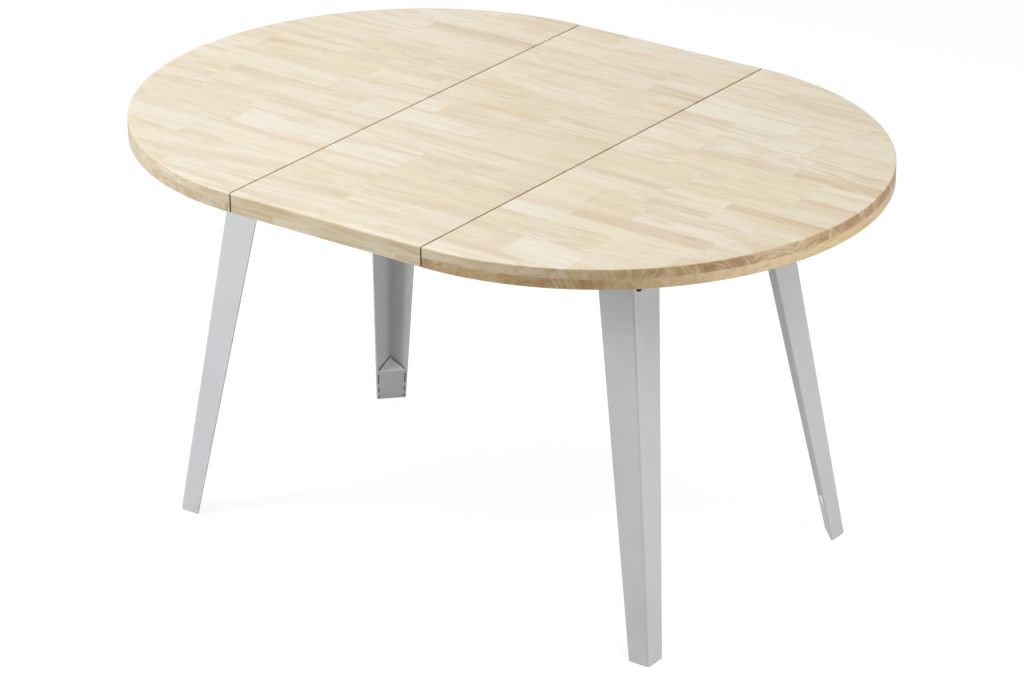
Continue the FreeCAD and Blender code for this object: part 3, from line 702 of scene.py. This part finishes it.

    # the walls of the seams are painted darker, more so further down: painted shade in the gaps
    fromSeam = calc(tree, "ABSOLUTE", less(calc(tree, "ABSOLUTE", axes[0]), boards["seam"]))
    seamShadeMask = between(tree, fromSeam, boards["gap"], boards["gap"] + look["seamShadeSoft"], 1.0, 0.0)
    below = less(boards["top"], axes[2])
    paintedSeamShade = between(tree, below, *look["seamShadeDepths"], seamShadeTop, look["seamShadeShare"])
    colour = mixColour(tree, times(seamShadeMask, paintedSeamShade), colour, look["seam"])

    dressShader(tree, shader, look, colour, lines, less(lines, times(pores, look["poreDepth"])))
    return material


upperMid = (boards["top"] + boards["joint"]) / 2
for name, look in boardLooks.items():
    body = "leaf" if name == "leaf" else name + "_end"
    node = "leaf_board" if name == "leaf" else name + "_end_board"
    rows = look["rowShift"], look["rowWidth"]
    wood = woodMaterial(name + "Wood", "X", rows, upperMid, look["edges"])
    addPiece(name + "_staves", boardMesh(name, look), wood, body, "rubberwood_top", node)
    print("staves laid:", name)

lowerMid = (boards["joint"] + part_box("right_end_backing")[0].z) / 2
backingLooks = {
    "left_end_backing": {"axis": "Y", "shift": 0.020, "seed": 71.0, "edges": (0.00, 0.45, 0.80, 1.00, 0.10)},
    "right_end_backing": {"axis": "Y", "shift": 0.030, "seed": 83.0, "edges": (0.60, 0.84, 0.55, 0.92, 0.10)},
    "leaf_backing": {"axis": "X", "shift": 0.010, "seed": 91.0, "edges": (0.16, 0.80, 0.20, 0.95, 0.10)},
}
for node, look in backingLooks.items():
    rows = look["shift"], boardLooks["leaf"]["rowWidth"]
    wood = woodMaterial(node + "Wood", look["axis"], rows, lowerMid, look["edges"], look["seed"])
    paintNodes({node: wood})
print("rubberwood done")


# Leg paint: fine matt powder coat

powderCoat = {
    # the lid colour is a painted highlight, lighter than the paint
    "colour": (0.575, 0.578, 0.58, 1), "shade": (0.54625, 0.5491, 0.551, 1), "lid": (0.80, 0.803, 0.805, 1),
    "foldHeight": 0.0645,     # the foot plates bend into their lids here; above it the lids are painted lighter, a painted highlight
    "foldHalf": 0.0012,
    "cloudScale": 9.0, "cloudRange": (0.3, 0.7), "grainScale": 900.0,
    "roughness": (0.40, 0.20), "coat": 0.8, "coatRoughness": 0.18,
    "bumpDepth": 0.00015, "bumpStrength": 0.3,
}


def powderMaterial(name, paintsLidHighlight, look=powderCoat):
    material, tree, shader = startMaterial(name)
    place, axes = objectPlace(tree)
    peel, colour = cloudedGrain(tree, place, look)[1:]
    # above the fold the plates take the lighter lid colour, a painted highlight
    if paintsLidHighlight:
        fold = look["foldHeight"] - look["foldHalf"]
        lid = between(tree, axes[2], fold - look["foldHalf"], fold)
        colour = mixColour(tree, lid, colour, look["lid"])
    dressShader(tree, shader, look, colour, peel, peel)
    return material


paintNodes({"_leg": powderMaterial("legPaint", False), "_foot_plate": powderMaterial("platePaintLidHighlight", True)})
print("leg paint done")


# Slides and hardware: beech, moulded nylon, black steel and zinc

beech = {
    "light": (0.520, 0.355, 0.220, 1),
    "dark": (0.410, 0.262, 0.150, 1),
    "fleck": (0.270, 0.155, 0.080, 1),
    "bandScales": (5.0, 62.0), "bandRange": (0.34, 0.68),
    "fleckScales": (70.0, 620.0), "fleckRange": (0.60, 0.70), "fleckShare": 0.55,
    "endFacing": (0.4, 0.9), "endShare": 0.45,
    "roughness": (0.42, 0.20), "bumpDepth": 0.00012, "bumpStrength": 0.4,
}
moulded = {"cloudRange": (0.35, 0.70), "bumpStrength": 0.5, "scuffed": None}
gearNylon = {
    **moulded, "colour": (0.730, 0.715, 0.650, 1), "shade": (0.640, 0.615, 0.530, 1),
    "cloudScale": 46.0, "grainScale": 1900.0, "roughness": (0.30, 0.22), "bumpDepth": 0.00004,
}
glideNylon = {
    **moulded, "colour": (0.560, 0.562, 0.565, 1), "shade": (0.500, 0.502, 0.505, 1),
    "cloudScale": 80.0, "grainScale": 2600.0, "roughness": (0.48, 0.25), "bumpDepth": 0.00008,
    "scuffed": (0.300, 0.290, 0.270, 1), "scuffHeight": 0.0006,
    "scuffScale": 420.0, "scuffRange": (0.42, 0.62),
}
# the plugs in the legs' holes are near black, which keeps the notch under the rim dark
nearBlackPlug = {
    **moulded, "colour": (0.012, 0.012, 0.013, 1), "shade": (0.022, 0.022, 0.023, 1),
    "cloudScale": 120.0, "grainScale": 2600.0, "roughness": (0.70, 0.25), "bumpDepth": 0.00008,
}
blackSteel = {
    "colour": (0.018, 0.018, 0.019, 1), "shade": (0.034, 0.034, 0.036, 1), "bare": (0.210, 0.205, 0.200, 1),
    "cloudScale": 60.0, "cloudRange": (0.35, 0.70), "grainScale": 1500.0,
    "scratchScales": (25.0, 900.0), "scratchLean": 0.35, "scratchRange": (0.70, 0.76), "scratchShare": 0.45,
    "roughness": (0.34, 0.22), "bumpDepth": 0.00005, "bumpStrength": 0.4,
}
zinc = {
    "colour": (0.610, 0.615, 0.605, 1), "shade": (0.470, 0.480, 0.485, 1), "blush": (0.620, 0.590, 0.500, 1),
    "spangleScale": 700.0, "spangleRange": (0.38, 0.64),
    "cloudScale": 95.0, "blushRange": (0.52, 0.72), "blushShare": 0.6,
    "roughness": (0.24, 0.24), "bumpDepth": 0.00003, "bumpStrength": 0.4,
}


def beechMaterial(name, grainAxis, look=beech):
    material, tree, shader = startMaterial(name)
    axes = objectPlace(tree)[1]
    alongIndex = "XY".index(grainAxis)

    def stretched(alongScale, acrossScale):
        scales = [acrossScale] * 3
        scales[alongIndex] = alongScale
        return joined(tree, *[calc(tree, "MULTIPLY", axis, scale) for axis, scale in zip(axes, scales)])

    bands = noise(tree, stretched(*look["bandScales"]), detail=3.0, rough=0.6)
    flecks = noise(tree, stretched(*look["fleckScales"]), detail=1.0)
    flecks = between(tree, flecks, *look["fleckRange"])
    colour = mixColour(tree, between(tree, bands, *look["bandRange"]), look["light"], look["dark"])
    colour = mixColour(tree, calc(tree, "MULTIPLY", flecks, look["fleckShare"]), colour, look["fleck"])
    cutAcross = between(tree, surfaceFacing(tree)[alongIndex], *look["endFacing"], 0.0, look["endShare"])
    colour = mixColour(tree, cutAcross, colour, look["fleck"])
    dressShader(tree, shader, look, colour, bands, calc(tree, "SUBTRACT", bands, flecks))
    return material


def mouldedMaterial(name, look):
    material, tree, shader = startMaterial(name)
    place, axes = objectPlace(tree)
    grain, colour = cloudedGrain(tree, place, look)[1:]
    if look["scuffed"]:
        # the face that stands on the floor is scuffed darker
        low = between(tree, axes[2], 0.0, look["scuffHeight"], 1.0, 0.0)
        marks = noise(tree, place, look["scuffScale"], detail=3.0, rough=0.7)
        marks = between(tree, marks, *look["scuffRange"])
        colour = mixColour(tree, calc(tree, "MULTIPLY", low, marks), colour, look["scuffed"])
    dressShader(tree, shader, look, colour, grain, grain)
    return material


def blackSteelMaterial(look=blackSteel):
    material, tree, shader = startMaterial("blackSteel")
    place, axes = objectPlace(tree)
    cloud, grain, colour = cloudedGrain(tree, place, look)
    # fine scratches in two directions rub the black off to bare metal
    longScale, fineScale = look["scratchScales"]
    for first, second in ((axes[0], axes[1]), (axes[1], axes[0])):
        leaned = calc(tree, "MULTIPLY_ADD", first, look["scratchLean"], second)
        far = calc(tree, "MULTIPLY", first, longScale)
        spot = joined(tree, far, calc(tree, "MULTIPLY", leaned, fineScale), axes[2])
        scratch = noise(tree, spot, detail=1.0)
        scratch = between(tree, scratch, *look["scratchRange"], 0.0, look["scratchShare"])
        colour = mixColour(tree, scratch, colour, look["bare"])
    dressShader(tree, shader, look, colour, cloud, grain)
    return material


def zincMaterial(look=zinc):
    material, tree, shader = startMaterial("zincSteel")
    place = objectPlace(tree)[0]
    spangle = noise(tree, place, look["spangleScale"])
    cloud = noise(tree, place, look["cloudScale"], detail=3.0)
    colour = mixColour(tree, between(tree, spangle, *look["spangleRange"]), look["colour"], look["shade"])
    blush = between(tree, cloud, *look["blushRange"], 0.0, look["blushShare"])
    colour = mixColour(tree, blush, colour, look["blush"])
    feed(tree, shader, {"Metallic": 1.0})
    dressShader(tree, shader, look, colour, spangle, spangle)
    return material


beechAlong = beechMaterial("beechAlong", "X")
rackNylon = mouldedMaterial("gearNylon", gearNylon)
lockSteel = blackSteelMaterial()
zincSteel = zincMaterial()
paintNodes({
    "_runner": beechAlong,
    "_cleats": beechAlong,
    "_cross_bar": beechMaterial("beechAcross", "Y"),
    "_rack": rackNylon,
    "_pinion": rackNylon,
    "_glide": mouldedMaterial("glideNylon", glideNylon),
    "_hole_plugs": mouldedMaterial("nearBlackPlug", nearBlackPlug),
    "_lock_plates": lockSteel,
    "_align_plates": lockSteel,
    "_lock_lever": lockSteel,
    "_keepers": lockSteel,
    "_lock_rivets": zincSteel,
    "stop_pins": zincSteel,
})
print("slides and locks painted")


# Screws and bolts: turned bodies whose head face carries a cross or a hexagon recess

screwForms = {
    "pan": {"headHeight": 0.003, "crownShare": 0.707, "shank": 0.0025, "hexagon": False,
            "armReach": 0.0026, "armHalf": 0.00050, "depth": 0.0018, "soft": 0.00024, "taper": 0.45},
    "flush": {"headHeight": 0.00175, "crownShare": 1.0, "shank": 0.00175, "hexagon": False,
              "armReach": 0.0019, "armHalf": 0.00038, "depth": 0.0013, "soft": 0.00018, "taper": 0.45},
    "bolt": {"headHeight": 0.004, "crownShare": 0.92, "shank": 0.004, "hexagon": True,
             "armReach": 0.0025, "armHalf": 0.0, "depth": 0.0024, "soft": 0.00020, "taper": 0.0},
}
screwGrid = {"turnSteps": 72, "faceSteps": 15, "roundSteps": 4, "tipShare": 0.75, "seed": 5,
             "crease": math.radians(38), "pointDigits": 6}


def solidsOf(node):
    # lowest and highest corner of each solid: points at one place are joined, then every point takes the
    # lowest label along its edges until no label changes
    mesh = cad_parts[node].data
    points = np.empty(3 * len(mesh.vertices))
    mesh.vertices.foreach_get("co", points)
    points = np.round(points.reshape(-1, 3), screwGrid["pointDigits"])
    ends = np.empty(2 * len(mesh.edges), np.int32)
    mesh.edges.foreach_get("vertices", ends)
    merged, back = np.unique(points, axis=0, return_inverse=True)
    first, second = back.reshape(-1)[ends.reshape(-1, 2)].T
    labels = np.arange(len(merged))
    settled = False
    while not settled:
        lowest = labels.copy()
        np.minimum.at(lowest, first, labels[second])
        np.minimum.at(lowest, second, labels[first])
        lowest = lowest[lowest]
        settled = bool((lowest == labels).all())
        labels = lowest
    solids = [merged[labels == label] for label in np.unique(labels)]
    lows = np.array([solid.min(axis=0) for solid in solids])
    return lows, np.array([solid.max(axis=0) for solid in solids])


def eased(value):
    # a smooth step from 0 at -1 to 1 at +1
    share = np.clip(value * 0.5 + 0.5, 0.0, 1.0)
    return share * share * (3 - 2 * share)


def recessDepth(x, y, form):
    # a cross is deep where the lesser of |x| and |y| is small; a hexagon where every side is further out
    if form["hexagon"]:
        turns = np.arange(3) * math.pi / 3
        outward = np.abs(x[..., None] * np.cos(turns) + y[..., None] * np.sin(turns)).max(axis=-1)
        return form["depth"] * eased((form["armReach"] - outward) / form["soft"])
    longWay = np.maximum(np.abs(x), np.abs(y))
    shortWay = np.minimum(np.abs(x), np.abs(y))
    inside = eased((form["armHalf"] - shortWay) / form["soft"])
    inside = inside * eased((form["armReach"] - longWay) / form["soft"])
    return form["depth"] * inside * (1 - form["taper"] * longWay / form["armReach"])


def screwMesh(name, node, form):
    low, high = solidsOf(node)
    draw = np.random.default_rng(screwGrid["seed"] + len(node))
    head = (high - low)[:, 0].min() / 2
    length = (high - low)[0, 2]
    crown = head * form["crownShare"]
    bend = np.linspace(0.0, math.pi / 2, screwGrid["roundSteps"] + 1)[1:]
    faceRadii = crown * np.arange(1, screwGrid["faceSteps"] + 1) / screwGrid["faceSteps"]
    tip = screwGrid["tipShare"] * form["shank"]

    # profile from the face's middle to the tip: face, rounded shoulder, bearing face, shank, blunt tip
    shoulder = (head - crown) * np.sin(bend) + crown
    radii = np.concatenate((faceRadii, shoulder, [head, form["shank"], form["shank"], tip]))
    rises = np.concatenate((np.zeros(len(faceRadii)), (head - crown) * (1 - np.cos(bend)),
                            [form["headHeight"], form["headHeight"], length - form["shank"] + tip, length]))
    if form["crownShare"] == 1.0:
        keep = np.r_[:len(faceRadii), len(radii) - 3:len(radii)]
        radii, rises = radii[keep], rises[keep]
    steps = screwGrid["turnSteps"]
    angles = np.linspace(0.0, 2 * math.pi, steps, endpoint=False)
    x = radii[:, None] * np.cos(angles)
    y = radii[:, None] * np.sin(angles)
    onFace = (np.arange(len(radii)) < len(faceRadii))[:, None]
    z = rises[:, None] + onFace * recessDepth(x, y, form)
    poles = np.array(((0.0, 0.0, form["depth"]), (0.0, 0.0, length)))
    one = np.concatenate((np.stack((x, y, z), axis=-1).reshape(-1, 3), poles))

    # every screw is the same body, turned by chance and set on its own place
    spin = draw.uniform(0.0, 2 * math.pi, (len(low), 1))
    x, y, z = one.T
    turned = np.stack((x * np.cos(spin) - y * np.sin(spin), x * np.sin(spin) + y * np.cos(spin),
                       np.broadcast_to(z, (len(low), len(one)))), axis=-1)
    places = np.column_stack(((low + high)[:, :2] / 2, low[:, 2]))
    points = (turned + places[:, None]).reshape(-1, 3)
    index = np.arange(len(radii) * steps).reshape(len(radii), steps)
    onward = np.roll(index, -1, axis=1)
    quads = np.stack((index[:-1], index[1:], onward[1:], onward[:-1]), axis=-1).reshape(-1, 4)
    facePole, tipPole = len(one) - 2, len(one) - 1
    caps = np.concatenate((
        np.column_stack((np.full(steps, facePole), index[0], onward[0])),
        np.column_stack((np.full(steps, tipPole), onward[-1], index[-1])),
    ))
    shifts = np.arange(len(low))[:, None, None] * len(one)
    faces = (quads + shifts).reshape(-1, 4).tolist() + (caps + shifts).reshape(-1, 3).tolist()
    mesh = bpy.data.meshes.new(name)
    mesh.from_pydata(points.tolist(), [], faces)
    mesh.shade_smooth()
    mesh.set_sharp_from_angle(angle=screwGrid["crease"])
    mesh.update()
    return mesh


fixings = {"cross_bar_screws": ("slide_centre", "pan"), "pinion_bolts": ("slide_centre", "bolt"),
           "leaf_keeper_screws": ("leaf", "flush"), "leaf_cleat_screws": ("leaf", "pan")}
for side in sides:
    for kind, formName in (("leg", "pan"), ("runner", "pan"), ("lock", "flush"), ("align", "flush")):
        fixings[side + "_" + kind + "_screws"] = (side + "_end", formName)
for node, (body, formName) in fixings.items():
    mesh = screwMesh("turned_" + node, node, screwForms[formName])
    addPiece("turned_" + node, mesh, zincSteel, body, "zinc_steel", node)
print("screws and bolts turned:", len(fixings))


# Floor and light

studio = {
    "floorHalf": 14.0,
    "floorBounce": 0.78,      # what the floor throws back on the table
    "floorGlow": 0.86,        # how bright it looks, apart from the light that falls on it
    "floorMirror": 0.35,      # the same, as shiny faces mirror it
    "floorShade": 0.24,       # how much of the light that falls on it shows, and so of the shadow
    "ambient": 0.115,
    "backdrop": 1.0,
}
lamps = {
    "overheadSoftbox": {"place": (-1.4, 0.5, 3.2), "aim": (0, 0, 0.7), "size": (2.6, 2.6),
                        "power": 58.0, "colour": (1, 1, 1)},
    "leftSoftbox": {"place": (-2.6, -2.6, 1.6), "aim": (-0.3, 0, 0.4), "size": (1.6, 1.6),
                    "power": 107.0, "colour": (0.93, 0.97, 1)},
    "rightSoftbox": {"place": (2.0, -0.6, 2.9), "aim": (0.4, 0, 0.4), "size": (2.2, 2.2),
                     "power": 49.0, "colour": (1, 1, 1)},
    "rightFill": {"place": (3.2, 0.5, 0.6), "aim": (0.4, 0, 0.3), "size": (1.8, 1.0),
                  "power": 32.5, "colour": (0.95, 0.98, 1)},
}


def showBehind(tree, rays, output, lighting, seen):
    # camera, glossy and transmission rays meet what is seen, all others what lights the table
    share = calc(tree, "MAXIMUM", rays["Is Camera Ray"], rays["Is Glossy Ray"])
    share = calc(tree, "MAXIMUM", share, rays["Is Transmission Ray"])
    choice = addNode(tree, "ShaderNodeMixShader", {0: share, 1: lighting, 2: seen})
    addNode(tree, output, {"Surface": choice.outputs[0]})


def greyDiffuse(tree, level):
    return addNode(tree, "ShaderNodeBsdfDiffuse", {"Color": (level, level, level, 1)}).outputs[0]


def whiteBackground(tree, strength):
    return addNode(tree, "ShaderNodeBackground", {"Color": (1, 1, 1, 1), "Strength": strength}).outputs[0]


def makeFloor():
    half = studio["floorHalf"]
    mesh = bpy.data.meshes.new("studioFloor")
    outline = [(-half, -half, 0), (half, -half, 0), (half, half, 0), (-half, half, 0)]
    mesh.from_pydata(outline, [], [(0, 1, 2, 3)])
    floor = addObject("studioFloor", mesh)
    material = bpy.data.materials.new("studioFloor")
    tree = emptyTree(material)
    rays = addNode(tree, "ShaderNodeLightPath", {}).outputs
    spare = studio["floorGlow"] - studio["floorMirror"]
    strength = calc(tree, "MULTIPLY_ADD", rays["Is Camera Ray"], spare, studio["floorMirror"])
    glow = addNode(tree, "ShaderNodeEmission", {"Strength": strength}).outputs[0]
    shade = greyDiffuse(tree, studio["floorShade"])
    shown = addNode(tree, "ShaderNodeAddShader", {0: shade, 1: glow}).outputs[0]
    bounce = greyDiffuse(tree, studio["floorBounce"])
    showBehind(tree, rays, "ShaderNodeOutputMaterial", bounce, shown)
    mesh.materials.append(material)


def makeWorld():
    world = bpy.data.worlds.new("studioWorld")
    scene.world = world
    tree = emptyTree(world)
    rays = addNode(tree, "ShaderNodeLightPath", {}).outputs
    dim = whiteBackground(tree, studio["ambient"])
    bright = whiteBackground(tree, studio["backdrop"])
    showBehind(tree, rays, "ShaderNodeOutputWorld", dim, bright)


def makeLamp(name, look):
    data = bpy.data.lights.new(name, "AREA")
    data.shape = "RECTANGLE"
    data.size, data.size_y = look["size"]
    data.energy = look["power"]
    data.color = look["colour"]
    lamp = addObject(name, data)
    lamp.location = look["place"]
    aim = Vector(look["aim"]) - Vector(look["place"])
    lamp.rotation_euler = aim.to_track_quat("-Z", "Y").to_euler()


makeFloor()
makeWorld()
for name, look in lamps.items():
    makeLamp(name, look)
print("floor and lights done")
